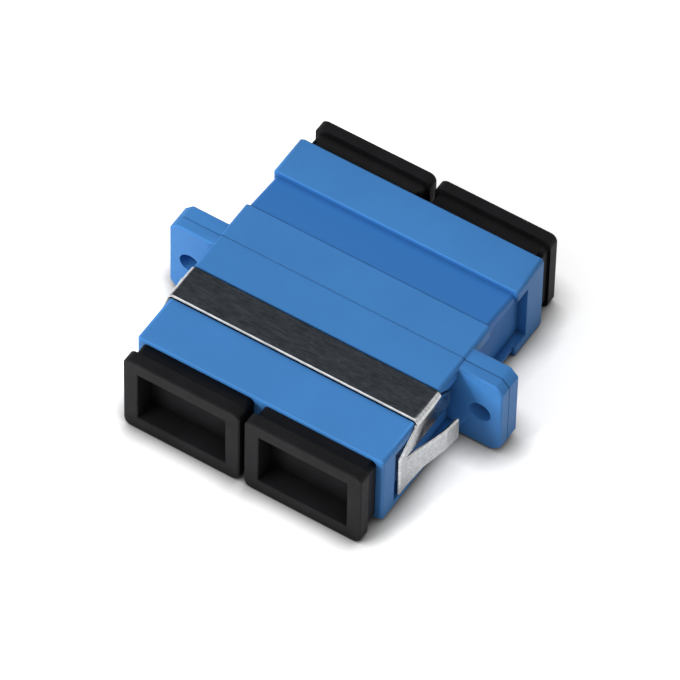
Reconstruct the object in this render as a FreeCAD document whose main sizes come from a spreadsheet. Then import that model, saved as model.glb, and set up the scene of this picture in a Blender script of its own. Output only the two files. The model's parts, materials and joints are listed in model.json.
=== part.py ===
import FreeCAD, Part
import math
import os
import Sketcher

# Duplex SC fibre adapter with its panel clip and four dust caps.
# Frame: X runs across the two ports, Y along the fibres (the front, with the clip, faces -Y), Z is up.
# The origin lies on the seam between the two housing halves, at mid width and mid height.
# Each half, insert and cap is drawn facing -Y, and a rear one is turned half way round Z.

DIMENSIONS = (
    ("port_pitch", 12.7, "between the two port axes"),
    ("port_width", 9.1, "plug opening across"),
    ("port_height", 7.45, "plug opening upright"),
    ("side_wall", 2.0, "port to the outside of the housing"),
    ("roof_wall", 0.975, "port to the top of the belt and rim"),
    ("block_roof", 0.525, "port to the top of the front block"),
    ("belt_length", 4.2, "seam to the end of the full-height belt"),
    ("waist_length", 4.6, "tapered waist of the rear half"),
    ("rim_length", 4.7, "full-height rim round the rear mouths"),
    ("waist_step", 0.1, "waist below the belt where it starts"),
    ("waist_drop", 0.6, "waist below the rim where it ends"),
    ("waist_inset", 0.3, "waist inside the belt and rim at its sides"),
    ("corner_round", 0.4, "long corners of the housing"),
    ("edge_bevel", 0.3, "edges round the mouths"),
    ("step_bevel", 0.15, "edges of the rim's step above the waist"),
    ("seam_bevel", 0.06, "bevel that marks the seam"),
    ("mouth_bevel", 0.15, "lead-in round each port"),
    ("key_slot_width", 2.5, "slot for the plug's key"),
    ("key_slot_length", 5.0, "key slot from the mouth"),
    ("ear_reach", 4.6, "flange ear beyond the housing's side"),
    ("ear_drop", 0.2, "ear below the belt's top"),
    ("ear_front", 1.2, "ear thickness on the front half"),
    ("ear_rear", 1.6, "ear thickness on the rear half"),
    ("ear_bevel", 0.8, "cut outer corners of the ears"),
    ("ear_edge_bevel", 0.15, "edges of the ears' faces"),
    ("hole_offset", 2.4, "screw hole from the housing's side"),
    ("hole_diameter", 2.2, "screw hole"),
    ("pocket_depth", 1.0, "side pocket that the spring tongue sinks into"),
    ("pocket_drop", 1.4, "pocket below the belt's top"),
    ("pocket_wall_front", 2.0, "pocket to the front mouth"),
    ("pocket_wall_rear", 2.9, "pocket to the rear mouth"),
    ("plate_lip", 0.3, "insert plate beyond the port on each side"),
    ("plate_thickness", 1.75, "insert plate"),
    ("insert_gap", 0.1, "play round the insert plate"),
    ("axial_gap", 0.05, "play of the insert along the fibre"),
    ("arm_length", 6.95, "latch arm from the plate"),
    ("arm_thickness", 0.8, "latch arm"),
    ("arm_height", 4.4, "latch arm upright"),
    ("arm_relief", 0.6, "room for the arm to spread"),
    ("hook_depth", 0.7, "hook of the latch arm"),
    ("hook_land", 0.4, "flat tip of the hook"),
    ("hook_back", 0.2, "slope behind the hook"),
    ("hook_ramp", 0.6, "lead-in slope of the hook"),
    ("arm_root_round", 0.3, "fillet where the arm meets its plate"),
    ("ferrule_diameter", 2.5, "bore of the split sleeve"),
    ("sleeve_wall", 0.35, "split sleeve"),
    ("sleeve_length", 11.4, "split sleeve"),
    ("sleeve_slit", 0.5, "slit along the sleeve"),
    ("sleeve_gap", 0.05, "sleeve to its holder, all round"),
    ("sleeve_end_gap", 0.1, "sleeve to the lip of its holder"),
    ("tube_wall", 0.6, "sleeve holder"),
    ("lip_length", 0.4, "lip that keeps the sleeve in"),
    ("lip_play", 0.25, "lip bore beyond the ferrule, all round"),
    ("lip_bevel", 0.2, "lead-in of the lip"),
    ("cap_gap", 0.1, "cap plug to the port, all round"),
    ("cap_face_gap", 0.05, "cap shoulder to the housing's face"),
    ("cap_wall", 1.0, "wall of the cap's hollow plug"),
    ("cap_arm_gap", 0.3, "cap plug to the tips of the latch arms"),
    ("neck_length", 1.6, "cap shoulder between the face and the rim"),
    ("neck_inset_x", 0.3, "shoulder inside the rim at its sides"),
    ("neck_inset_z", 0.7, "shoulder inside the rim at top and bottom"),
    ("rim_thickness", 1.2, "finger rim of the cap"),
    ("rim_spacing", 0.5, "between the rims of two neighbours"),
    ("rim_drop", 0.05, "rim below the housing's top"),
    ("rim_corner", 0.75, "corners of the finger rim"),
    ("rim_edge_bevel", 0.12, "front edges of the finger rim"),
    ("neck_corner", 0.5, "corners of the shoulder"),
    ("border_x", 1.5, "rim beside the front recess"),
    ("border_z", 1.6, "rim above and below the front recess"),
    ("recess_depth", 2.3, "recess in the cap's face"),
    ("web_thickness", 1.0, "wall between the recess and the hollow plug"),
    ("plug_bevel", 0.3, "lead-in of the cap's plug"),
    ("clip_thickness", 0.35, "spring steel of the panel clip"),
    ("clip_width", 3.85, "strip across the top"),
    ("clip_back_gap", 0.15, "strip to the belt's step, and play in its seat"),
    ("clip_seat_depth", 0.1, "leg let into the housing's side"),
    ("bend_radius", 0.25, "inside of the clip's bends"),
    ("shoulder_drop", 0.15, "shoulder of the leg below its strip"),
    ("leg_front_width", 2.85, "leg in front of the strip"),
    ("leg_front_drop", 2.0, "front shoulder down to the full width"),
    ("leg_back_width", 1.65, "leg behind the strip"),
    ("leg_back_drop", 1.05, "back shoulder down to the full width"),
    ("leg_base_drop", 7.15, "strip down to the foot of the leg"),
    ("leg_foot_width", 1.2, "upright strip that the tongue springs from"),
    ("slit_height", 0.25, "slit above the tongue"),
    ("tongue_top_drop", 3.1, "strip down to the tongue's top edge"),
    ("tongue_neck_height", 3.05, "tongue where it leaves its flared root"),
    ("tongue_neck_length", 1.9, "flared root of the tongue"),
    ("tongue_tip_height", 2.75, "free end of the tongue"),
    ("tongue_reach", 1.5, "tip of the tongue beyond the leg"),
    ("tongue_lead_length", 1.85, "end of the tongue that turns back towards the leg's line"),
    ("tongue_lead_reach", 0.25, "outward part of that end"),
    ("tongue_bend", 2.5, "outside of the tongue's bends"),
    ("panel_gap", 2.25, "tip of the tongue to the flange"),
    ("tip_round", 0.3, "corners of the tongue's tip"),
    ("cut_margin", 1.0, "run of a cut's outline past the solid"),
)

HALF_WIDTH = "(Size.port_pitch / 2 + Size.port_width / 2 + Size.side_wall)"
HALF_HEIGHT = "(Size.port_height / 2 + Size.roof_wall)"
BLOCK_HALF_HEIGHT = "(Size.port_height / 2 + Size.block_roof)"
HALF_LENGTH = "(Size.belt_length + Size.waist_length + Size.rim_length)"
WAIST_END = "(Size.belt_length + Size.waist_length)"
EAR_HALF_HEIGHT = f"({HALF_HEIGHT} - Size.ear_drop)"
POCKET_HALF_HEIGHT = f"({HALF_HEIGHT} - Size.pocket_drop)"
PLATE_HALF_WIDTH = "(Size.port_width / 2 + Size.plate_lip)"
PLATE_HALF_HEIGHT = "(Size.port_height / 2 + Size.plate_lip)"
SEAT_DEPTH = "(Size.plate_thickness + Size.axial_gap)"
ARM_TIP = "(Size.plate_thickness + Size.arm_length)"
PLUG_END = f"({ARM_TIP} + Size.cap_arm_gap)"
CAP_FACE = f"({HALF_LENGTH} + Size.cap_face_gap)"
RIM_BACK = f"({CAP_FACE} + Size.neck_length)"
RIM_FRONT = f"({RIM_BACK} + Size.rim_thickness)"
RIM_HALF_WIDTH = "(Size.port_pitch / 2 - Size.rim_spacing / 2)"
RIM_HALF_HEIGHT = f"({HALF_HEIGHT} - Size.rim_drop)"
SLEEVE_RADIUS = "(Size.ferrule_diameter / 2 + Size.sleeve_wall)"
HOLDER_RADIUS = f"({SLEEVE_RADIUS} + Size.sleeve_gap)"
LIP_START = "(Size.sleeve_length / 2 + Size.sleeve_end_gap)"
STRIP_BACK = "(Size.belt_length + Size.clip_back_gap)"
STRIP_FRONT = f"({STRIP_BACK} + Size.clip_width)"
LEG_FRONT = f"({STRIP_FRONT} + Size.leg_front_width)"
LEG_BACK = f"({STRIP_BACK} - Size.leg_back_width)"
LEG_INSIDE = f"({HALF_WIDTH} - Size.clip_seat_depth)"
SHOULDER_TOP = f"({BLOCK_HALF_HEIGHT} - Size.shoulder_drop)"
LEG_FOOT = f"({BLOCK_HALF_HEIGHT} - Size.leg_base_drop)"
TONGUE_TOP = f"({BLOCK_HALF_HEIGHT} - Size.tongue_top_drop)"
TONGUE_ROOT = f"({LEG_FRONT} - Size.leg_foot_width)"
TONGUE_TIP = "(Size.ear_front + Size.panel_gap)"

ON_SURFACE = 0.001

doc = FreeCAD.newDocument("sc_duplex_adapter")
sheet = doc.addObject("Spreadsheet::Sheet", "Size")
for row, (alias, number, note) in enumerate(DIMENSIONS, start=1):
    sheet.set(f"A{row}", str(number))
    sheet.setAlias(f"A{row}", alias)
    sheet.set(f"B{row}", note)
doc.recompute()


def value(expression):
    """The number that an expression in the sheet's sizes gives."""
    return float(sheet.evalExpression(expression))


def new_body(label):
    body = doc.addObject("PartDesign::Body", label)
    body.Label = label
    return body


def new_sketch(body, name, plane_role, offset="0"):
    """A sketch on one of the body's own planes, moved along the plane's normal by offset."""
    sketch = body.newObject("Sketcher::SketchObject", name)
    plane = next(item for item in body.Origin.OriginFeatures if item.Role == plane_role)
    sketch.AttachmentSupport = [(plane, "")]
    sketch.MapMode = "FlatFace"
    sketch.setExpression("AttachmentOffset.Base.z", offset)
    return sketch


def draw_polygon(sketch, corners):
    """A closed outline whose corners are pairs of expressions, measured from the sketch's origin."""
    first = sketch.GeometryCount
    points = [FreeCAD.Vector(value(across), value(up), 0) for across, up in corners]
    for start, end in zip(points, points[1:] + points[:1]):
        sketch.addGeometry(Part.LineSegment(start, end))
    for number, (across, up) in enumerate(corners):
        line = first + number
        following = first + (number + 1) % len(corners)
        sketch.addConstraint(Sketcher.Constraint("Coincident", line, 2, following, 1))
        for kind, expression in (("DistanceX", across), ("DistanceY", up)):
            size = Sketcher.Constraint(kind, -1, 1, line, 1, value(expression))
            sketch.setExpression(f"Constraints[{sketch.addConstraint(size)}]", expression)


def draw_rectangle(sketch, half_width, half_height, centre="0"):
    draw_polygon(sketch, (
        (f"{centre} - {half_width}", f"-{half_height}"),
        (f"{centre} + {half_width}", f"-{half_height}"),
        (f"{centre} + {half_width}", half_height),
        (f"{centre} - {half_width}", half_height),
    ))


def draw_rounded_rectangle(sketch, half_width, half_height, radius, centre="0"):
    """A rectangle round the port or housing axis, with its four corners as arcs."""
    first = sketch.GeometryCount
    inner_width = f"({half_width} - {radius})"
    inner_height = f"({half_height} - {radius})"
    sides = (
        ((f"{centre} - {inner_width}", f"-{half_height}"), (f"{centre} + {inner_width}", f"-{half_height}")),
        ((f"{centre} + {half_width}", f"-{inner_height}"), (f"{centre} + {half_width}", inner_height)),
        ((f"{centre} + {inner_width}", half_height), (f"{centre} - {inner_width}", half_height)),
        ((f"{centre} - {half_width}", inner_height), (f"{centre} - {half_width}", f"-{inner_height}")),
    )
    for ends in sides:
        start, end = (FreeCAD.Vector(value(across), value(up), 0) for across, up in ends)
        line = sketch.addGeometry(Part.LineSegment(start, end))
        for point, (across, up) in enumerate(ends, start=1):
            for kind, expression in (("DistanceX", across), ("DistanceY", up)):
                size = Sketcher.Constraint(kind, -1, 1, line, point, value(expression))
                sketch.setExpression(f"Constraints[{sketch.addConstraint(size)}]", expression)
    for number, (right, top) in enumerate(((1, -1), (1, 1), (-1, 1), (-1, -1))):
        across = f"{centre} + {right} * {inner_width}"
        middle = FreeCAD.Vector(value(across), top * value(inner_height), 0)
        circle = Part.Circle(middle, FreeCAD.Vector(0, 0, 1), value(radius))
        quarter = number - 1
        arc = sketch.addGeometry(
            Part.ArcOfCircle(circle, quarter * math.pi / 2, (quarter + 1) * math.pi / 2))
        sketch.addConstraint(Sketcher.Constraint("Coincident", arc, 1, first + number, 2))
        sketch.addConstraint(Sketcher.Constraint("Coincident", arc, 2, first + (number + 1) % 4, 1))
        size = Sketcher.Constraint("DistanceX", -1, 1, arc, 3, value(across))
        sketch.setExpression(f"Constraints[{sketch.addConstraint(size)}]", across)


def draw_circle(sketch, radius, across="0"):
    middle = FreeCAD.Vector(value(across), 0, 0)
    circle = sketch.addGeometry(Part.Circle(middle, FreeCAD.Vector(0, 0, 1), value(radius)))
    for constraint, expression in (
        (Sketcher.Constraint("DistanceX", -1, 1, circle, 3, value(across)), across),
        (Sketcher.Constraint("DistanceY", -1, 1, circle, 3, 0.0), "0"),
        (Sketcher.Constraint("Radius", circle, value(radius)), radius),
    ):
        sketch.setExpression(f"Constraints[{sketch.addConstraint(constraint)}]", expression)


def pad(body, name, sketch, length, midplane=False):
    feature = body.newObject("PartDesign::Pad", name)
    feature.Profile = sketch
    feature.setExpression("Length", length)
    if midplane:
        feature.SideType = "Symmetric"
    doc.recompute()
    return feature


def pocket(body, name, sketch, length=None, along_normal=False, midplane=False):
    """Cuts against the sketch's normal, or along it, by a length or through everything."""
    solid_before = body.Shape.Volume
    feature = body.newObject("PartDesign::Pocket", name)
    feature.Profile = sketch
    feature.Reversed = along_normal
    if length is None:
        feature.Type = "ThroughAll"
    else:
        feature.setExpression("Length", length)
    if midplane:
        feature.SideType = "Symmetric"
    doc.recompute()
    if body.Shape.Volume > solid_before - ON_SURFACE:
        raise ValueError(f"{body.Label}: {name} cuts nothing")
    return feature


def round_edges(body, name, chosen, radius, kind="PartDesign::Fillet"):
    """Rounds (or bevels) the edges of the body that chosen(middle, direction, edge) accepts."""
    base = body.Tip
    names = []
    for number, edge in enumerate(base.Shape.Edges, start=1):
        half_way = (edge.FirstParameter + edge.LastParameter) / 2
        if chosen(edge.valueAt(half_way), edge.tangentAt(half_way), edge):
            names.append(f"Edge{number}")
    if not names:
        raise ValueError(f"{body.Label}: {name} found no edge")
    feature = body.newObject(kind, name)
    feature.Base = (base, names)
    feature.setExpression("Radius" if kind == "PartDesign::Fillet" else "Size", radius)
    doc.recompute()
    return feature


def near(number, expression):
    return abs(abs(number) - value(expression)) < ON_SURFACE


def runs_along(direction, axis):
    """Whether a direction lies along X, Y or Z, named x, y or z."""
    return 1 - abs(getattr(direction, axis)) < ON_SURFACE


def straight(edge):
    return isinstance(edge.Curve, (Part.Line, Part.LineSegment))


def place(body, turned, across="0"):
    """Moves a body drawn at the front to its port, and half way round Z for the rear."""
    angle = 180 if turned else 0
    body.Placement = FreeCAD.Placement(
        FreeCAD.Vector(0, 0, 0), FreeCAD.Rotation(FreeCAD.Vector(0, 0, 1), angle))
    body.setExpression("Placement.Base.x", across)
    doc.recompute()


def bevel_outline(body, name, distance, width):
    """Bevels the whole outline of the face at a distance from the seam."""
    round_edges(
        body, name,
        lambda middle, along, edge: near(middle.y, distance) and abs(along.y) < ON_SURFACE,
        width, "PartDesign::Chamfer")


def make_belt(body):
    outline = new_sketch(body, "belt_outline", "XZ_Plane")
    draw_rounded_rectangle(outline, HALF_WIDTH, HALF_HEIGHT, "Size.corner_round")
    pad(body, "belt", outline, "Size.belt_length")


def make_front_block(body):
    """The lower block in front of the belt: the clip's strip lies on its first part."""
    outline = new_sketch(body, "block_outline", "XZ_Plane", "Size.belt_length")
    draw_rounded_rectangle(outline, HALF_WIDTH, BLOCK_HALF_HEIGHT, "Size.corner_round")
    pad(body, "block", outline, "Size.waist_length + Size.rim_length")
    bevel_outline(body, "mouth_edges", HALF_LENGTH, "Size.edge_bevel")


def make_rear_waist_and_rim(body):
    """The waist tapers down from the belt to the foot of the rim that surrounds the mouths."""
    near_belt = new_sketch(body, "waist_start", "XZ_Plane", "Size.belt_length")
    draw_rounded_rectangle(
        near_belt, f"({HALF_WIDTH} - Size.waist_inset)", f"({HALF_HEIGHT} - Size.waist_step)",
        "Size.corner_round")
    near_rim = new_sketch(body, "waist_finish", "XZ_Plane", WAIST_END)
    draw_rounded_rectangle(
        near_rim, f"({HALF_WIDTH} - Size.waist_inset)", f"({HALF_HEIGHT} - Size.waist_drop)",
        "Size.corner_round")
    waist = body.newObject("PartDesign::AdditiveLoft", "waist")
    waist.Profile = near_belt
    waist.Sections = [near_rim]
    doc.recompute()
    outline = new_sketch(body, "rim_outline", "XZ_Plane", WAIST_END)
    draw_rounded_rectangle(outline, HALF_WIDTH, HALF_HEIGHT, "Size.corner_round")
    pad(body, "rim", outline, "Size.rim_length")
    bevel_outline(body, "mouth_edges", HALF_LENGTH, "Size.edge_bevel")
    inside = value(f"{HALF_HEIGHT} - Size.waist_drop")
    round_edges(
        body, "rim_edges",
        lambda middle, along, edge: (
            near(middle.y, WAIST_END) and abs(along.y) < ON_SURFACE
            and (near(middle.x, HALF_WIDTH) or near(middle.z, HALF_HEIGHT)
                 or not straight(edge) and abs(middle.z) > inside)),
        "Size.step_bevel", "PartDesign::Chamfer")


def make_ears(body, thickness):
    """The two flange ears, with cut outer corners."""
    for side, name in ((-1, "left"), (1, "right")):
        root = f"{side} * ({HALF_WIDTH} - Size.side_wall / 2)"
        reach = f"{side} * ({HALF_WIDTH} + Size.ear_reach)"
        cut = f"{side} * ({HALF_WIDTH} + Size.ear_reach - Size.ear_bevel)"
        outline = new_sketch(body, f"ear_outline_{name}", "XZ_Plane")
        draw_polygon(outline, (
            (root, f"-{EAR_HALF_HEIGHT}"),
            (cut, f"-{EAR_HALF_HEIGHT}"),
            (reach, f"-{EAR_HALF_HEIGHT} + Size.ear_bevel"),
            (reach, f"{EAR_HALF_HEIGHT} - Size.ear_bevel"),
            (cut, EAR_HALF_HEIGHT),
            (root, EAR_HALF_HEIGHT),
        ))
        pad(body, f"ear_{name}", outline, thickness)
    round_edges(
        body, "ear_edges",
        lambda middle, along, edge: (
            near(middle.y, thickness) and abs(middle.x) > value(HALF_WIDTH) + ON_SURFACE
            and abs(along.y) < ON_SURFACE and straight(edge)),
        "Size.ear_edge_bevel", "PartDesign::Chamfer")


def cut_screw_holes(body):
    for side, name in ((-1, "left"), (1, "right")):
        centre = f"{side} * ({HALF_WIDTH} + Size.hole_offset)"
        outline = new_sketch(body, f"screw_hole_outline_{name}", "XZ_Plane")
        draw_circle(outline, "Size.hole_diameter / 2", centre)
        pocket(body, f"screw_hole_{name}", outline, along_normal=True)


def cut_side_pockets(body, ear_thickness, mouth_wall):
    """A shallow pocket in each side, from the ear to a wall behind the mouth."""
    for side, name in ((-1, "left"), (1, "right")):
        floor = f"{side} * ({HALF_WIDTH} - Size.pocket_depth)"
        outline = new_sketch(body, f"pocket_outline_{name}", "YZ_Plane", floor)
        draw_polygon(outline, (
            (f"-{ear_thickness}", f"-{POCKET_HALF_HEIGHT}"),
            (f"-{ear_thickness}", POCKET_HALF_HEIGHT),
            (f"-({HALF_LENGTH} - {mouth_wall})", POCKET_HALF_HEIGHT),
            (f"-({HALF_LENGTH} - {mouth_wall})", f"-{POCKET_HALF_HEIGHT}"),
        ))
        pocket(body, f"side_pocket_{name}", outline, along_normal=side > 0)


def cut_clip_seats(body):
    """The shallow seat of each clip leg: the leg's own outline, with play all round."""
    play = "Size.clip_back_gap"
    above = f"({HALF_HEIGHT} + Size.cut_margin)"
    for side, name in ((-1, "left"), (1, "right")):
        outline = new_sketch(body, f"clip_seat_outline_{name}", "YZ_Plane", f"{side} * {LEG_INSIDE}")
        draw_polygon(outline, (
            ("-Size.belt_length", above),
            (f"-({STRIP_FRONT} + {play})", above),
            (f"-({STRIP_FRONT} + {play})", SHOULDER_TOP),
            (f"-({LEG_FRONT} + {play})", f"{SHOULDER_TOP} - Size.leg_front_drop"),
            (f"-({LEG_FRONT} + {play})", f"{LEG_FOOT} - {play}"),
            (f"-({LEG_BACK} - {play})", f"{LEG_FOOT} - {play}"),
            (f"-({LEG_BACK} - {play})", f"{SHOULDER_TOP} - Size.leg_back_drop + {play}"),
            ("-Size.belt_length", f"{SHOULDER_TOP} + {play}"),
        ))
        pocket(body, f"clip_seat_{name}", outline, along_normal=side > 0)


def cut_ports(body):
    """The two plug openings, the wider seats of the insert plates and the key slots below."""
    for side, name in ((-1, "left"), (1, "right")):
        axis = f"{side} * Size.port_pitch / 2"
        mouth = new_sketch(body, f"port_outline_{name}", "XZ_Plane", HALF_LENGTH)
        draw_rectangle(mouth, "Size.port_width / 2", "Size.port_height / 2", axis)
        pocket(body, f"port_{name}", mouth, HALF_LENGTH)
        seat = new_sketch(body, f"plate_seat_outline_{name}", "XZ_Plane", SEAT_DEPTH)
        draw_rectangle(
            seat, f"({PLATE_HALF_WIDTH} + Size.insert_gap)", f"({PLATE_HALF_HEIGHT} + Size.insert_gap)", axis)
        pocket(body, f"plate_seat_{name}", seat, SEAT_DEPTH)
        slot = new_sketch(body, f"key_slot_outline_{name}", "XZ_Plane", HALF_LENGTH)
        draw_polygon(slot, (
            (f"{axis} - Size.key_slot_width / 2", f"-{HALF_HEIGHT}"),
            (f"{axis} + Size.key_slot_width / 2", f"-{HALF_HEIGHT}"),
            (f"{axis} + Size.key_slot_width / 2", "0"),
            (f"{axis} - Size.key_slot_width / 2", "0"),
        ))
        pocket(body, f"key_slot_{name}", slot, "Size.key_slot_length")
    round_edges(
        body, "mouth_bevels",
        lambda middle, along, edge: near(middle.y, HALF_LENGTH) and (
            runs_along(along, "x") and near(middle.z, "Size.port_height / 2")
            or runs_along(along, "z")
            and near(abs(middle.x) - value("Size.port_pitch / 2"), "Size.port_width / 2")),
        "Size.mouth_bevel", "PartDesign::Chamfer")


def make_front_housing():
    body = new_body("front_housing")
    make_belt(body)
    make_front_block(body)
    make_ears(body, "Size.ear_front")
    bevel_outline(body, "seam_bevel", "0", "Size.seam_bevel")
    cut_side_pockets(body, "Size.ear_front", "Size.pocket_wall_front")
    cut_clip_seats(body)
    cut_ports(body)
    cut_screw_holes(body)
    place(body, turned=False)
    return body


def make_rear_housing():
    body = new_body("rear_housing")
    make_belt(body)
    make_rear_waist_and_rim(body)
    make_ears(body, "Size.ear_rear")
    bevel_outline(body, "seam_bevel", "0", "Size.seam_bevel")
    cut_side_pockets(body, "Size.ear_rear", "Size.pocket_wall_rear")
    cut_ports(body)
    cut_screw_holes(body)
    place(body, turned=True)
    return body


def make_latch_insert(label):
    """One moulding: a plate, the holder of half the sleeve and two hooked latch arms."""
    body = new_body(label)
    plate = new_sketch(body, "plate_outline", "XZ_Plane")
    draw_rectangle(plate, PLATE_HALF_WIDTH, PLATE_HALF_HEIGHT)
    pad(body, "plate", plate, "Size.plate_thickness")
    arm_outside = "(Size.port_width / 2 - Size.arm_relief)"
    arm_inside = f"({arm_outside} - Size.arm_thickness)"
    hook_inside = f"({arm_inside} - Size.hook_depth)"
    hook_start = f"({ARM_TIP} - Size.hook_ramp - Size.hook_land)"
    for side, name in ((-1, "left"), (1, "right")):
        outline = new_sketch(body, f"arm_outline_{name}", "XY_Plane")
        draw_polygon(outline, (
            (f"{side} * {arm_outside}", "0"),
            (f"{side} * {arm_outside}", f"-{ARM_TIP}"),
            (f"{side} * {arm_inside}", f"-{ARM_TIP}"),
            (f"{side} * {hook_inside}", f"-({ARM_TIP} - Size.hook_ramp)"),
            (f"{side} * {hook_inside}", f"-{hook_start}"),
            (f"{side} * {arm_inside}", f"-({hook_start} - Size.hook_back)"),
            (f"{side} * {arm_inside}", "0"),
        ))
        pad(body, f"arm_{name}", outline, "Size.arm_height", midplane=True)
    round_edges(
        body, "arm_roots",
        lambda middle, along, edge: (
            near(middle.y, "Size.plate_thickness") and runs_along(along, "z")
            and (near(middle.x, arm_outside) or near(middle.x, arm_inside))),
        "Size.arm_root_round")
    bore = new_sketch(body, "bore_outline", "XZ_Plane")
    draw_circle(bore, HOLDER_RADIUS)
    pocket(body, "bore", bore, along_normal=True)
    profile = new_sketch(body, "holder_profile", "YZ_Plane")
    lip_radius = "(Size.ferrule_diameter / 2 + Size.lip_play)"
    holder_end = f"({LIP_START} + Size.lip_length)"
    draw_polygon(profile, (
        ("0", HOLDER_RADIUS),
        (f"-{LIP_START}", HOLDER_RADIUS),
        (f"-{LIP_START}", lip_radius),
        (f"-({holder_end} - Size.lip_bevel)", lip_radius),
        (f"-{holder_end}", f"{lip_radius} + Size.lip_bevel"),
        (f"-{holder_end}", f"{HOLDER_RADIUS} + Size.tube_wall"),
        ("0", f"{HOLDER_RADIUS} + Size.tube_wall"),
    ))
    holder = body.newObject("PartDesign::Revolution", "sleeve_holder")
    holder.Profile = profile
    holder.ReferenceAxis = (
        next(item for item in body.Origin.OriginFeatures if item.Role == "Y_Axis"), [""])
    holder.Angle = 360
    doc.recompute()
    return body


def make_split_sleeve(label):
    """The ceramic sleeve that lines up the two ferrules, slit along its top."""
    body = new_body(label)
    ring = new_sketch(body, "ring_outline", "XZ_Plane")
    draw_circle(ring, SLEEVE_RADIUS)
    draw_circle(ring, "Size.ferrule_diameter / 2")
    pad(body, "ring", ring, "Size.sleeve_length", midplane=True)
    slit = new_sketch(body, "slit_outline", "XZ_Plane")
    draw_polygon(slit, (
        ("-Size.sleeve_slit / 2", "0"),
        ("Size.sleeve_slit / 2", "0"),
        ("Size.sleeve_slit / 2", f"{SLEEVE_RADIUS} + Size.cut_margin"),
        ("-Size.sleeve_slit / 2", f"{SLEEVE_RADIUS} + Size.cut_margin"),
    ))
    pocket(body, "slit", slit, midplane=True)
    return body


def make_dust_cap(label):
    """A finger rim with a recessed face, a shoulder and a hollow plug that fills the port."""
    body = new_body(label)
    plug_half_width = "(Size.port_width / 2 - Size.cap_gap)"
    plug_half_height = "(Size.port_height / 2 - Size.cap_gap)"
    rim = new_sketch(body, "rim_outline", "XZ_Plane", RIM_BACK)
    draw_rounded_rectangle(rim, RIM_HALF_WIDTH, RIM_HALF_HEIGHT, "Size.rim_corner")
    pad(body, "rim", rim, "Size.rim_thickness")
    bevel_outline(body, "rim_edges", RIM_FRONT, "Size.rim_edge_bevel")
    neck = new_sketch(body, "neck_outline", "XZ_Plane", CAP_FACE)
    neck_half_width = f"({RIM_HALF_WIDTH} - Size.neck_inset_x)"
    neck_half_height = f"({RIM_HALF_HEIGHT} - Size.neck_inset_z)"
    draw_rounded_rectangle(neck, neck_half_width, neck_half_height, "Size.neck_corner")
    pad(body, "neck", neck, "Size.neck_length")
    plug = new_sketch(body, "plug_outline", "XZ_Plane", PLUG_END)
    draw_rectangle(plug, plug_half_width, plug_half_height)
    pad(body, "plug", plug, f"{CAP_FACE} - {PLUG_END}")
    round_edges(
        body, "plug_lead_in",
        lambda middle, along, edge: near(middle.y, PLUG_END),
        "Size.plug_bevel", "PartDesign::Chamfer")
    recess = new_sketch(body, "recess_outline", "XZ_Plane", RIM_FRONT)
    draw_rectangle(
        recess, f"({RIM_HALF_WIDTH} - Size.border_x)", f"({RIM_HALF_HEIGHT} - Size.border_z)")
    pocket(body, "recess", recess, "Size.recess_depth")
    hollow = new_sketch(body, "hollow_outline", "XZ_Plane", PLUG_END)
    draw_rectangle(
        hollow, f"({plug_half_width} - Size.cap_wall)", f"({plug_half_height} - Size.cap_wall)")
    pocket(
        body, "hollow", hollow,
        f"{RIM_FRONT} - Size.recess_depth - Size.web_thickness - {PLUG_END}", along_normal=True)
    return body


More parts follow.
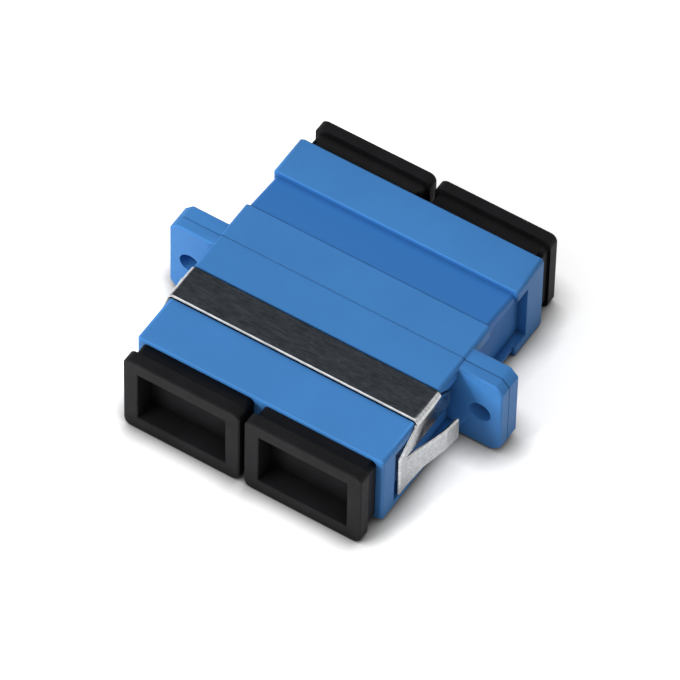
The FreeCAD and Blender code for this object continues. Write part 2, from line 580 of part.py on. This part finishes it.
def make_panel_clip():
    """One steel strip bent over the front half: its legs' lower parts are sprung outwards."""
    body = new_body("panel_clip")
    band = new_sketch(body, "band_outline", "XZ_Plane", LEG_BACK)
    leg_outside = f"({LEG_INSIDE} + Size.clip_thickness)"
    strip_top = f"({BLOCK_HALF_HEIGHT} + Size.clip_thickness)"
    draw_polygon(band, (
        (f"-{leg_outside}", LEG_FOOT),
        (f"-{leg_outside}", strip_top),
        (leg_outside, strip_top),
        (leg_outside, LEG_FOOT),
        (LEG_INSIDE, LEG_FOOT),
        (LEG_INSIDE, BLOCK_HALF_HEIGHT),
        (f"-{LEG_INSIDE}", BLOCK_HALF_HEIGHT),
        (f"-{LEG_INSIDE}", LEG_FOOT),
    ))
    pad(body, "band", band, f"{LEG_FRONT} - {LEG_BACK}")
    round_edges(
        body, "bends_inside",
        lambda middle, along, edge: near(middle.x, LEG_INSIDE) and near(middle.z, BLOCK_HALF_HEIGHT),
        "Size.bend_radius")
    round_edges(
        body, "bends_outside",
        lambda middle, along, edge: near(middle.x, leg_outside) and near(middle.z, strip_top),
        "Size.bend_radius + Size.clip_thickness")
    above = f"({strip_top} + Size.cut_margin)"
    below = f"({LEG_FOOT} - Size.cut_margin)"
    beyond_front = f"({LEG_FRONT} + Size.cut_margin)"
    beyond_back = f"({LEG_BACK} - Size.cut_margin)"
    beyond_tip = f"({TONGUE_TIP} - Size.cut_margin)"
    slit_top = f"({TONGUE_TOP} + Size.slit_height)"
    trim = new_sketch(body, "leg_trim", "YZ_Plane")
    draw_polygon(trim, (
        (f"-{STRIP_FRONT}", above),
        (f"-{STRIP_FRONT}", SHOULDER_TOP),
        (f"-{LEG_FRONT}", f"{SHOULDER_TOP} - Size.leg_front_drop"),
        (f"-{beyond_front}", f"{SHOULDER_TOP} - Size.leg_front_drop"),
        (f"-{beyond_front}", above),
    ))
    draw_polygon(trim, (
        (f"-{STRIP_BACK}", above),
        (f"-{STRIP_BACK}", SHOULDER_TOP),
        (f"-{LEG_BACK}", f"{SHOULDER_TOP} - Size.leg_back_drop"),
        (f"-{beyond_back}", f"{SHOULDER_TOP} - Size.leg_back_drop"),
        (f"-{beyond_back}", above),
    ))
    draw_polygon(trim, (
        (f"-{TONGUE_ROOT}", slit_top),
        (f"-{beyond_back}", slit_top),
        (f"-{beyond_back}", below),
        (f"-{TONGUE_ROOT}", below),
    ))
    pocket(body, "leg_cuts", trim, midplane=True)
    plan = new_sketch(body, "tongue_plan", "XY_Plane", LEG_FOOT)
    knee = f"({TONGUE_TIP} + Size.tongue_lead_length)"
    knee_reach = "(Size.tongue_reach - Size.tongue_lead_reach)"
    for side in (-1, 1):
        draw_polygon(plan, (
            (f"{side} * {LEG_INSIDE}", f"-{LEG_FRONT}"),
            (f"{side} * {LEG_INSIDE}", f"-{TONGUE_ROOT}"),
            (f"{side} * ({LEG_INSIDE} + {knee_reach})", f"-{knee}"),
            (f"{side} * ({LEG_INSIDE} + Size.tongue_reach)", f"-{TONGUE_TIP}"),
            (f"{side} * ({leg_outside} + Size.tongue_reach)", f"-{TONGUE_TIP}"),
            (f"{side} * ({leg_outside} + {knee_reach})", f"-{knee}"),
            (f"{side} * {leg_outside}", f"-{TONGUE_ROOT}"),
            (f"{side} * {leg_outside}", f"-{LEG_FRONT}"),
        ))
    pad(body, "tongues", plan, f"{TONGUE_TOP} - {LEG_FOOT}")
    round_edges(
        body, "tongue_bends",
        lambda middle, along, edge: (
            runs_along(along, "z") and near(middle.y, knee)
            and abs(middle.x) > value(LEG_INSIDE) + ON_SURFACE),
        "Size.tongue_bend")
    neck_end = f"({TONGUE_ROOT} - Size.tongue_neck_length)"
    taper = new_sketch(body, "tongue_taper", "YZ_Plane")
    draw_polygon(taper, (
        (f"-{TONGUE_ROOT}", LEG_FOOT),
        (f"-{neck_end}", f"{TONGUE_TOP} - Size.tongue_neck_height"),
        (f"-{TONGUE_TIP}", f"{TONGUE_TOP} - Size.tongue_tip_height"),
        (f"-{beyond_tip}", f"{TONGUE_TOP} - Size.tongue_tip_height"),
        (f"-{beyond_tip}", below),
        (f"-{TONGUE_ROOT}", below),
    ))
    pocket(body, "tongue_trim", taper, midplane=True)
    round_edges(
        body, "tip_corners",
        lambda middle, along, edge: near(middle.y, TONGUE_TIP) and runs_along(along, "x"),
        "Size.tip_round")
    return body


front_housing = make_front_housing()
rear_housing = make_rear_housing()
pieces = [front_housing, rear_housing, make_panel_clip()]
for end, turned in (("front", False), ("rear", True)):
    for side, hand in ((-1, "left"), (1, "right")):
        axis = f"{side} * Size.port_pitch / 2"
        for make, name in ((make_latch_insert, "latch_insert"), (make_dust_cap, "dust_cap")):
            piece = make(f"{name}_{end}_{hand}")
            place(piece, turned, axis)
            pieces.append(piece)
for side, hand in ((-1, "left"), (1, "right")):
    sleeve = make_split_sleeve(f"split_sleeve_{hand}")
    place(sleeve, False, f"{side} * Size.port_pitch / 2")
    pieces.append(sleeve)
doc.recompute()

for item in doc.Objects:
    if "Invalid" in item.State or "Error" in item.State:
        raise ValueError(f"{item.Name} failed: {item.State}")
for piece in pieces:
    if piece.Shape.isNull() or not piece.Shape.isValid() or len(piece.Shape.Solids) != 1:
        raise ValueError(f"{piece.Label} is not one valid solid")

os.makedirs("parts", exist_ok=True)
for piece in pieces:
    piece.Shape.exportStep(f"parts/{piece.Label}.step")
    box = piece.Shape.BoundBox
    print(f"{piece.Label}: {piece.Shape.Volume:.1f} cubic mm, "
          f"x {box.XMin:.2f} to {box.XMax:.2f}, y {box.YMin:.2f} to {box.YMax:.2f}, "
          f"z {box.ZMin:.2f} to {box.ZMax:.2f}")
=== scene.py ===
import json
import math

import bmesh
import bpy
from mathutils import Matrix, Vector


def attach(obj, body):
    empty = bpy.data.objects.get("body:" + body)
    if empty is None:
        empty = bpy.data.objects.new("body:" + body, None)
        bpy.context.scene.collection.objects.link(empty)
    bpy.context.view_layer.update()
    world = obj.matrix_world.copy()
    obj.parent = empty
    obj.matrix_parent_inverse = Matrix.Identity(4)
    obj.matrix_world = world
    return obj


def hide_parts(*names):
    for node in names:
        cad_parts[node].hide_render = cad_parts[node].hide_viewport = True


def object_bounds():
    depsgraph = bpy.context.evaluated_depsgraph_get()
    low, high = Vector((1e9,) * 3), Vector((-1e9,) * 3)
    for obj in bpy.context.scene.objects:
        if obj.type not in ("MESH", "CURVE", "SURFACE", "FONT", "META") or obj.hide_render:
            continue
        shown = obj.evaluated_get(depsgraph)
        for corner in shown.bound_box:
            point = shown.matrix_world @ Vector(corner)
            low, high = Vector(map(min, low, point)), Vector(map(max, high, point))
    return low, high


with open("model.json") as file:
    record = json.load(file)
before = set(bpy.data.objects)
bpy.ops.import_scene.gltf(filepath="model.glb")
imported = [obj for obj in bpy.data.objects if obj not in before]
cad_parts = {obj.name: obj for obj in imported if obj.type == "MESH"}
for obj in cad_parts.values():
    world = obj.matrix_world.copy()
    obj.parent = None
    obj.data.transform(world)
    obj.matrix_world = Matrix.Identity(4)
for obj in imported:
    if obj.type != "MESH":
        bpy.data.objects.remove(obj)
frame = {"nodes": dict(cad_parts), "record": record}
cad_low, cad_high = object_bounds()

MM = 0.001

# Colours as shares of reflected red, green and blue light.
WHITE = (1.0, 1.0, 1.0)
BLACK = (0.0, 0.0, 0.0)
BLUE = (0.048, 0.200, 0.500)
BLUE_FLECK = (0.10, 0.28, 0.62)
# Painted shade: a darker blue for the waist, standing in for the shade that falls on it.
WAIST_PAINTED_SHADE = (0.037, 0.180, 0.500)
CAP_BLACK = (0.0065, 0.0065, 0.0072)
STEEL = (0.480, 0.487, 0.495)
IVORY = (0.72, 0.68, 0.56)
CERAMIC = (0.84, 0.84, 0.80)

# Stretches along the object, in millimetres from the seam towards the rear.
WAIST = (4.2, 8.8)
SEAM = (-0.12, 0.12)


# Materials

def shade(colour, factor):
    return tuple(channel * factor for channel in colour)


def calculate(nodes, links, operation, *given):
    """The result of a math node whose inputs are numbers or other nodes' outputs."""
    node = nodes.new("ShaderNodeMath")
    node.operation = operation
    for socket, value in zip(node.inputs, given):
        if isinstance(value, bpy.types.NodeSocket):
            links.new(value, socket)
        else:
            socket.default_value = value
    return node.outputs[0]


class Recipe:
    """A material whose nodes are made in short calls and placed in the object's own coordinates."""

    def __init__(self, name):
        self.material = bpy.data.materials.new(name)
        self.material.use_nodes = True
        self.nodes = self.material.node_tree.nodes
        self.links = self.material.node_tree.links
        self.nodes.clear()
        self.shader = self.nodes.new("ShaderNodeBsdfPrincipled")
        self.links.new(self.shader.outputs[0], self.nodes.new("ShaderNodeOutputMaterial").inputs[0])
        self.place = self.nodes.new("ShaderNodeTexCoord").outputs["Object"]

    def stretched(self, x, y, z):
        """The object's coordinates, scaled by a number of waves a millimetre along each axis."""
        mapping = self.nodes.new("ShaderNodeMapping")
        mapping.inputs["Scale"].default_value = (x / MM, y / MM, z / MM)
        self.links.new(self.place, mapping.inputs["Vector"])
        return mapping.outputs["Vector"]

    def noise(self, waves=1.0, detail=2.0, rough=0.5, vector=None):
        """Noise with that many waves a millimetre, or in a vector that is already scaled."""
        texture = self.nodes.new("ShaderNodeTexNoise")
        texture.inputs["Scale"].default_value = waves if vector else waves / MM
        texture.inputs["Detail"].default_value = detail
        texture.inputs["Roughness"].default_value = rough
        self.links.new(vector or self.place, texture.inputs["Vector"])
        return texture.outputs["Fac"]

    def ramp(self, factor, first, last):
        """A colour ramp between two stops, each a position and a colour."""
        ramp = self.nodes.new("ShaderNodeValToRGB")
        for element, (position, colour) in zip(ramp.color_ramp.elements, (first, last)):
            element.position = position
            element.color = (*colour, 1.0)
        self.links.new(factor, ramp.inputs["Fac"])
        return ramp.outputs["Color"]

    def span(self, factor, low, high):
        """A factor of 0 to 1 spread from low to high."""
        spread = self.nodes.new("ShaderNodeMapRange")
        spread.inputs["To Min"].default_value = low
        spread.inputs["To Max"].default_value = high
        self.links.new(factor, spread.inputs["Value"])
        return spread.outputs["Result"]

    def between(self, low, high):
        """1 where the object's y lies between two places in millimetres, else 0."""
        split = self.nodes.new("ShaderNodeSeparateXYZ")
        self.links.new(self.place, split.inputs[0])
        middle, reach = (low + high) / 2 * MM, (high - low) / 2 * MM
        return calculate(self.nodes, self.links, "COMPARE", split.outputs["Y"], middle, reach)

    def mix(self, factor, first, second, blend="MIX"):
        """Two colours blended by a factor; at 0 it is the first alone."""
        node = self.nodes.new("ShaderNodeMix")
        node.data_type = "RGBA"
        node.blend_type = blend
        self.feed(node.inputs["Factor"], factor)
        self.feed(node.inputs["A"], first)
        self.feed(node.inputs["B"], second)
        return node.outputs["Result"]

    def painted_crease_shade(self, colour, reach, least):
        """The colour, painted darker as shade in holes, seams and corners that are narrower than a reach in
        millimetres.
        """
        opening = self.nodes.new("ShaderNodeAmbientOcclusion")
        opening.samples = 8
        opening.inputs["Distance"].default_value = reach * MM
        return self.mix(1.0, colour, self.span(opening.outputs["AO"], low=least, high=1.0), blend="MULTIPLY")

    def bump(self, *layers):
        """Bumps from (height factor, depth in millimetres, strength) layers, the first under the next."""
        normal = None
        for factor, depth, strength in layers:
            node = self.nodes.new("ShaderNodeBump")
            node.inputs["Strength"].default_value = strength
            node.inputs["Distance"].default_value = depth * MM
            self.links.new(factor, node.inputs["Height"])
            if normal:
                self.links.new(normal, node.inputs["Normal"])
            normal = node.outputs["Normal"]
        self.links.new(normal, self.shader.inputs["Normal"])

    def feed(self, socket, given):
        """Gives a socket another node's output, a colour or a number."""
        if isinstance(given, bpy.types.NodeSocket):
            self.links.new(given, socket)
        elif isinstance(given, tuple):
            socket.default_value = (*given, 1.0)
        else:
            socket.default_value = given

    def set(self, **sockets):
        """Feeds the shader's sockets by name, with _ for each space."""
        for name, given in sockets.items():
            self.feed(self.shader.inputs[name.replace("_", " ")], given)


def blue_plastic():
    """Satin moulded plastic with fine grain and faint flow clouds; the waist, the seam and the creases are
    painted darker as shade.
    """
    recipe = Recipe("blue_plastic")
    clouds = recipe.noise(0.11, detail=3.0)
    flecks = recipe.noise(7.0, detail=1.0)
    body = recipe.ramp(clouds, (0.30, shade(BLUE, 0.94)), (0.70, shade(BLUE, 1.06)))
    light = recipe.ramp(flecks, (0.35, BLACK), (0.75, WHITE))
    colour = recipe.mix(recipe.span(light, low=0.0, high=0.08), body, BLUE_FLECK)
    # Painted shade: the waist is painted this darker blue.
    colour = recipe.mix(recipe.between(*WAIST), colour, WAIST_PAINTED_SHADE)
    # Painted shade: the seam's groove is painted darker.
    colour = recipe.mix(recipe.between(*SEAM), colour, shade(BLUE, 0.85))
    recipe.set(
        # Painted shade: the colour is darkened in creases, seams and holes.
        Base_Color=recipe.painted_crease_shade(colour, reach=0.7, least=0.35),
        Roughness=recipe.span(recipe.noise(0.5, detail=4.0), low=0.45, high=0.58),
        IOR=1.32)
    recipe.bump(
        (recipe.noise(9.0, detail=2.0), 0.006, 0.35),
        (recipe.noise(0.25, detail=1.0), 0.05, 0.12))
    return recipe.material


def cap_plastic():
    """Soft black plastic, near matte, with a faint grey bloom and fine grain."""
    recipe = Recipe("cap_plastic")
    bloom = recipe.noise(0.35, detail=4.0, rough=0.6)
    body = recipe.ramp(bloom, (0.30, CAP_BLACK), (0.75, shade(CAP_BLACK, 1.7)))
    recipe.set(
        # Painted shade: the colour is darkened in the recesses and creases.
        Base_Color=recipe.painted_crease_shade(body, reach=2.0, least=0.1),
        Roughness=recipe.span(recipe.noise(0.8, detail=3.0), low=0.50, high=0.66),
        IOR=1.20)
    recipe.bump(
        (recipe.noise(8.0, detail=3.0), 0.008, 0.45),
        (recipe.noise(0.3, detail=1.0), 0.06, 0.15))
    return recipe.material


def clip_steel():
    """Rolled spring steel: short dark streaks along the strip and paler scuffed patches."""
    recipe = Recipe("clip_steel")
    streaks = recipe.noise(detail=5.0, rough=0.75, vector=recipe.stretched(0.9, 4.0, 4.0))
    patches = recipe.noise(1.8, detail=5.0, rough=0.7)
    scuffs = recipe.ramp(patches, (0.30, BLACK), (0.72, WHITE))
    metal = recipe.ramp(streaks, (0.36, shade(STEEL, 0.58)), (0.64, shade(STEEL, 1.16)))
    recipe.set(
        Base_Color=recipe.mix(recipe.span(scuffs, low=0.0, high=0.45), metal, shade(STEEL, 1.20)),
        Metallic=1.0,
        Roughness=recipe.span(recipe.mix(0.55, scuffs, streaks), low=0.11, high=0.23))
    recipe.bump((streaks, 0.012, 0.30))
    return recipe.material


def insert_plastic():
    """Ivory engineering plastic, matte and slightly cloudy."""
    recipe = Recipe("insert_plastic")
    clouds = recipe.noise(0.4, detail=3.0)
    recipe.set(
        Base_Color=recipe.ramp(clouds, (0.30, shade(IVORY, 0.93)), (0.75, shade(IVORY, 1.05))),
        Roughness=recipe.span(recipe.noise(1.2, detail=3.0), low=0.42, high=0.58),
        IOR=1.46)
    recipe.bump((recipe.noise(10.0, detail=2.0), 0.005, 0.35))
    return recipe.material


def sleeve_ceramic():
    """Ground white ceramic with the faint rings of its grinding."""
    recipe = Recipe("sleeve_ceramic")
    rings = recipe.noise(detail=2.0, vector=recipe.stretched(0.4, 16.0, 0.4))
    recipe.set(
        Base_Color=recipe.ramp(rings, (0.25, shade(CERAMIC, 0.95)), (0.75, CERAMIC)),
        Roughness=recipe.span(rings, low=0.12, high=0.24),
        IOR=1.9)
    recipe.bump((rings, 0.003, 0.30))
    return recipe.material


finishes = {
    "blue_plastic": blue_plastic(),
    "cap_plastic": cap_plastic(),
    "clip_steel": clip_steel(),
    "insert_plastic": insert_plastic(),
    "sleeve_ceramic": sleeve_ceramic(),
}
slots = {part["node"]: part["material_slot"] for part in frame["record"]["subparts"]}
for name, node in frame["nodes"].items():
    node.data.materials.clear()
    node.data.materials.append(finishes[slots[name]])


# Rounded pieces

HOUSING_ROUND = 0.13 * MM
CLIP_ROUND = 0.20 * MM
CAP_ROUND = 0.14 * MM
ROUND_SEGMENTS = 3
WELD_DISTANCE = 0.0005 * MM
# Faces that turn by less than the flat angle become one, convex edges that turn by more than the edge angle
# are rounded, and edges that still turn by more than the sharp angle stay crisp.
FLAT_ANGLE = math.radians(0.6)
EDGE_ANGLE = math.radians(28.0)
SHARP_ANGLE = math.radians(35.0)
# The room that a rounded edge needs, in radii.
EDGE_ROOM = 3.0
FACE_ROOM = 2.4
MEETING_ROOM = 1.5


def roomy(edge, radius):
    """Whether an edge, its two faces and the edges that meet it leave room to round it."""
    length = edge.calc_length()
    meeting = [other for vertex in edge.verts for other in vertex.link_edges]
    return (length >= EDGE_ROOM * radius
            and all(face.calc_area() >= FACE_ROOM * radius * length for face in edge.link_faces)
            and all(other.calc_length() > MEETING_ROOM * radius for other in meeting))


def outer(edge, radius):
    """Whether an edge of the clip borders a face that looks away from the housing."""
    wide = max(edge.link_faces, key=lambda face: face.calc_area())
    middle = (edge.verts[0].co + edge.verts[1].co) / 2
    return wide.normal.dot(Vector((middle.x, 0.0, middle.z))) > 0


def rounded(name, piece_name, body, radius, wanted=roomy):
    """A copy of a CAD node with its edges rounded in the mesh; it stands for the node on that body."""
    form = bmesh.new()
    form.from_mesh(frame["nodes"][name].data)
    bmesh.ops.remove_doubles(form, verts=form.verts, dist=WELD_DISTANCE)
    bmesh.ops.dissolve_limit(form, angle_limit=FLAT_ANGLE, verts=form.verts, edges=form.edges)
    edges = [edge for edge in form.edges
             if edge.is_manifold and edge.is_convex and edge.calc_face_angle() > EDGE_ANGLE
             and wanted(edge, radius)]
    bmesh.ops.bevel(form, geom=edges, offset=radius, offset_type="OFFSET", segments=ROUND_SEGMENTS,
                    profile=0.5, affect="EDGES", clamp_overlap=wanted is roomy, loop_slide=True)
    mesh = bpy.data.meshes.new(piece_name)
    form.to_mesh(mesh)
    form.free()
    mesh.shade_smooth()
    mesh.set_sharp_from_angle(angle=SHARP_ANGLE)
    mesh.materials.append(finishes[slots[name]])
    piece = bpy.data.objects.new(piece_name, mesh)
    bpy.context.scene.collection.objects.link(piece)
    even = piece.modifiers.new("even", "WEIGHTED_NORMAL")
    even.keep_sharp = True
    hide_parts(name)
    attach(piece, body)


rounded("front_housing", "front_shell", "adapter", HOUSING_ROUND)
rounded("rear_housing", "rear_shell", "adapter", HOUSING_ROUND)
rounded("panel_clip", "spring_strip", "adapter", CLIP_ROUND, outer)
for end in ("front", "rear"):
    for hand in ("left", "right"):
        rounded(f"dust_cap_{end}_{hand}", f"soft_cap_{end}_{hand}", f"cap_{end}_{hand}", CAP_ROUND)


# Stage

# The floor sends back the share FLOOR_PAPER of the light, and where it is seen it is lifted to white.
FLOOR_HEIGHT = cad_low.z
FLOOR_WIDTH = 6.0
FLOOR_PAPER = 0.86
FLOOR_LIFT = 0.62
# The shadow close round the object: how far it reaches, and the power that deepens it.
CONTACT_REACH = 3.0 * MM
CONTACT_DEPTH = 2.2
# The sky lights the object less brightly than it looks.
SKY_LIGHT = 0.24
SKY_SEEN = 1.0
LAMP_DISTANCE = 0.60
CARD_DISTANCE = 0.90
CARD_DIRECTION = Vector((-0.32, 0.527, 0.788))
CARD_WIDTH, CARD_HEIGHT = 1.1, 1.0
CARD_TINT = (0.85, 1.0, 1.2)
CARD_GLOW = 0.070


def direction(azimuth, elevation):
    """The unit vector from the object to a place at those angles; azimuth 0 is straight in front."""
    return Vector((math.sin(azimuth) * math.cos(elevation), -math.cos(azimuth) * math.cos(elevation),
                   math.sin(elevation)))


def flat_panel(name, centre, aim, width, height, material):
    """A flat rectangle at centre that faces the point aim."""
    mesh = bpy.data.meshes.new(name)
    corners = [(-width / 2, -height / 2, 0), (width / 2, -height / 2, 0),
               (width / 2, height / 2, 0), (-width / 2, height / 2, 0)]
    mesh.from_pydata(corners, [], [(0, 1, 2, 3)])
    mesh.materials.append(material)
    panel = bpy.data.objects.new(name, mesh)
    panel.location = centre
    panel.rotation_mode = "QUATERNION"
    panel.rotation_quaternion = (Vector(aim) - Vector(centre)).to_track_quat("Z", "Y")
    bpy.context.scene.collection.objects.link(panel)
    return panel


def seen_directly(nodes, links):
    """1 for a ray from the camera, or one that a mirror or glass sends on, else 0."""
    rays = nodes.new("ShaderNodeLightPath").outputs
    seen = calculate(nodes, links, "MAXIMUM", rays["Is Camera Ray"], rays["Is Glossy Ray"])
    return calculate(nodes, links, "MAXIMUM", seen, rays["Is Transmission Ray"])


def floor_material():
    """White paper, darker close to the object and under its shadow, with a lift where it is seen."""
    material = bpy.data.materials.new("floor_white")
    material.use_nodes = True
    nodes = material.node_tree.nodes
    links = material.node_tree.links
    nodes.clear()
    contact = nodes.new("ShaderNodeAmbientOcclusion")
    contact.samples = 12
    contact.inputs["Distance"].default_value = CONTACT_REACH
    openness = calculate(nodes, links, "POWER", contact.outputs["AO"], CONTACT_DEPTH)
    paper = nodes.new("ShaderNodeBsdfDiffuse")
    links.new(calculate(nodes, links, "MULTIPLY", openness, FLOOR_PAPER), paper.inputs["Color"])
    lift = nodes.new("ShaderNodeEmission")
    lift.inputs["Color"].default_value = (*WHITE, 1.0)
    amount = calculate(nodes, links, "MULTIPLY", seen_directly(nodes, links), FLOOR_LIFT)
    links.new(calculate(nodes, links, "MULTIPLY", amount, openness), lift.inputs["Strength"])
    both = nodes.new("ShaderNodeAddShader")
    links.new(paper.outputs[0], both.inputs[0])
    links.new(lift.outputs[0], both.inputs[1])
    links.new(both.outputs[0], nodes.new("ShaderNodeOutputMaterial").inputs[0])
    return material


def card_material():
    """A faint even grey that no light changes."""
    material = bpy.data.materials.new("card_grey")
    material.use_nodes = True
    sockets = material.node_tree.nodes["Principled BSDF"].inputs
    sockets["Base Color"].default_value = (*BLACK, 1.0)
    sockets["Roughness"].default_value = 1.0
    sockets["Specular IOR Level"].default_value = 0.0
    sockets["Emission Color"].default_value = (*CARD_TINT, 1.0)
    sockets["Emission Strength"].default_value = CARD_GLOW
    return material


def studio_world():
    """White all round to the eye and in reflections, and a soft even light on the object."""
    world = bpy.data.worlds.new("studio")
    world.use_nodes = True
    nodes = world.node_tree.nodes
    links = world.node_tree.links
    nodes.clear()
    sky = nodes.new("ShaderNodeBackground")
    sky.inputs["Color"].default_value = (*WHITE, 1.0)
    level = nodes.new("ShaderNodeMapRange")
    level.inputs["To Min"].default_value = SKY_LIGHT
    level.inputs["To Max"].default_value = SKY_SEEN
    links.new(seen_directly(nodes, links), level.inputs["Value"])
    links.new(level.outputs["Result"], sky.inputs["Strength"])
    links.new(sky.outputs[0], nodes.new("ShaderNodeOutputWorld").inputs[0])
    return world


def softbox(name, azimuth, elevation, width, height, power, mirrored):
    """An area lamp that faces the object from that direction in degrees.

    A lamp that isn't mirrored lights the object, but the steel doesn't show it as a white glare.
    """
    lamp = bpy.data.lights.new(name, "AREA")
    lamp.shape = "RECTANGLE"
    lamp.size = width
    lamp.size_y = height
    lamp.energy = power
    holder = bpy.data.objects.new(name, lamp)
    holder.location = LAMP_DISTANCE * direction(math.radians(azimuth), math.radians(elevation))
    holder.rotation_mode = "QUATERNION"
    holder.rotation_quaternion = holder.location.to_track_quat("Z", "Y")
    holder.visible_glossy = mirrored
    bpy.context.scene.collection.objects.link(holder)


flat_panel("floor", (0, 0, FLOOR_HEIGHT), (0, 0, 1), FLOOR_WIDTH, FLOOR_WIDTH, floor_material())
bpy.context.scene.world = studio_world()
softbox("key", azimuth=-42.0, elevation=28.0, width=0.32, height=0.20, power=2.5, mirrored=False)
softbox("edge", azimuth=-22.0, elevation=32.0, width=0.10, height=0.06, power=1.2, mirrored=False)
softbox("top", azimuth=-20.0, elevation=74.0, width=0.70, height=0.70, power=1.5, mirrored=True)

# A card that only reflections see: it darkens the clip's flat strip, seen from the front.
shade_card = flat_panel(
    "shade_card", CARD_DISTANCE * CARD_DIRECTION, (0, 0, 0), CARD_WIDTH, CARD_HEIGHT, card_material())
shade_card.visible_camera = False
shade_card.visible_diffuse = False
shade_card.visible_shadow = False
shade_card.visible_transmission = False


# Camera

AZIMUTH, ELEVATION, ROLL = (math.radians(angle) for angle in (31.394, 52.008, 1.388))
DISTANCE = 700.0 * MM
SHIFT_RIGHT, SHIFT_UP = -0.106 * MM, -1.031 * MM
FOCAL_PIXELS, IMAGE_PIXELS = 7863.31, 680

back = direction(AZIMUTH, ELEVATION)
level_right = Vector((math.cos(AZIMUTH), math.sin(AZIMUTH), 0.0))
level_up = back.cross(level_right)
right = math.cos(ROLL) * level_right + math.sin(ROLL) * level_up
up = math.cos(ROLL) * level_up - math.sin(ROLL) * level_right
camera = bpy.data.objects.new("camera", bpy.data.cameras.new("camera"))
camera.matrix_world = Matrix.LocRotScale(
    DISTANCE * back + SHIFT_RIGHT * right + SHIFT_UP * up,
    Matrix((right, up, back)).transposed().to_quaternion(), None)
camera.data.sensor_width = 36.0
camera.data.lens = FOCAL_PIXELS / IMAGE_PIXELS * camera.data.sensor_width
camera.data.clip_start = 0.05
camera.data.clip_end = 20.0
bpy.context.scene.collection.objects.link(camera)
bpy.context.scene.camera = camera
bpy.context.scene.view_settings.view_transform = "Standard"
